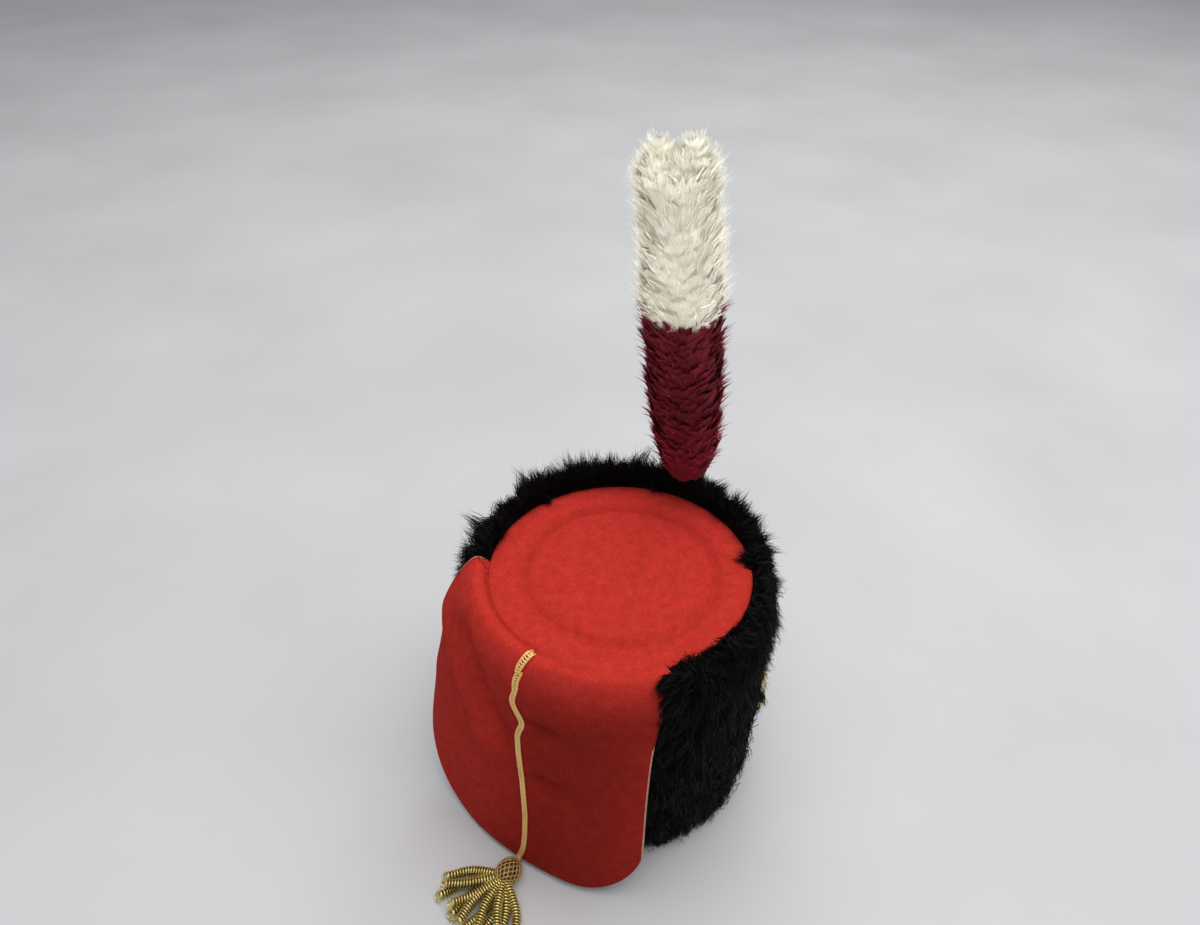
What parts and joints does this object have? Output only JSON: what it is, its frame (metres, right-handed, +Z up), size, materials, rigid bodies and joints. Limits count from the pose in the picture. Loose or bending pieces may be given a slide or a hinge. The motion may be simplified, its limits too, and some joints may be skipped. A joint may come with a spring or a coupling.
{
  "type": "busby",
  "caption": "Hollow drum cap of black fur with a red felt crown and hanging bag, gold braid and tassel, red and white feather plume and brass chin chain.",
  "frame": {"origin": "centre of the head opening, on the surface that the rim stands on", "axes": "+Z up, -Y the wearer's front, -X the wearer's right, where the bag hangs, +X the plume's side"},
  "size_m": [0.3272, 0.2461, 0.4862],
  "materials": {
    "fur": "glossy black fur",
    "felt": "matte wool felt",
    "braid": "flat woven gold braid",
    "bullion": "coiled gold wire",
    "stem": "plain wire rod",
    "feather_red": "dyed feathers",
    "feather_white": "white feathers",
    "chain": "worn brass"
  },
  "bodies": {
    "root": {"fur_body": "fur", "bag": "felt", "bag_braid": "braid", "tassel": "bullion", "plume_stem": "stem", "plume_red": "feather_red", "plume_white": "feather_white", "chin_chain": "chain", "chain_boss_front": "chain", "chain_boss_back": "chain"}
  },
  "joints": []
}
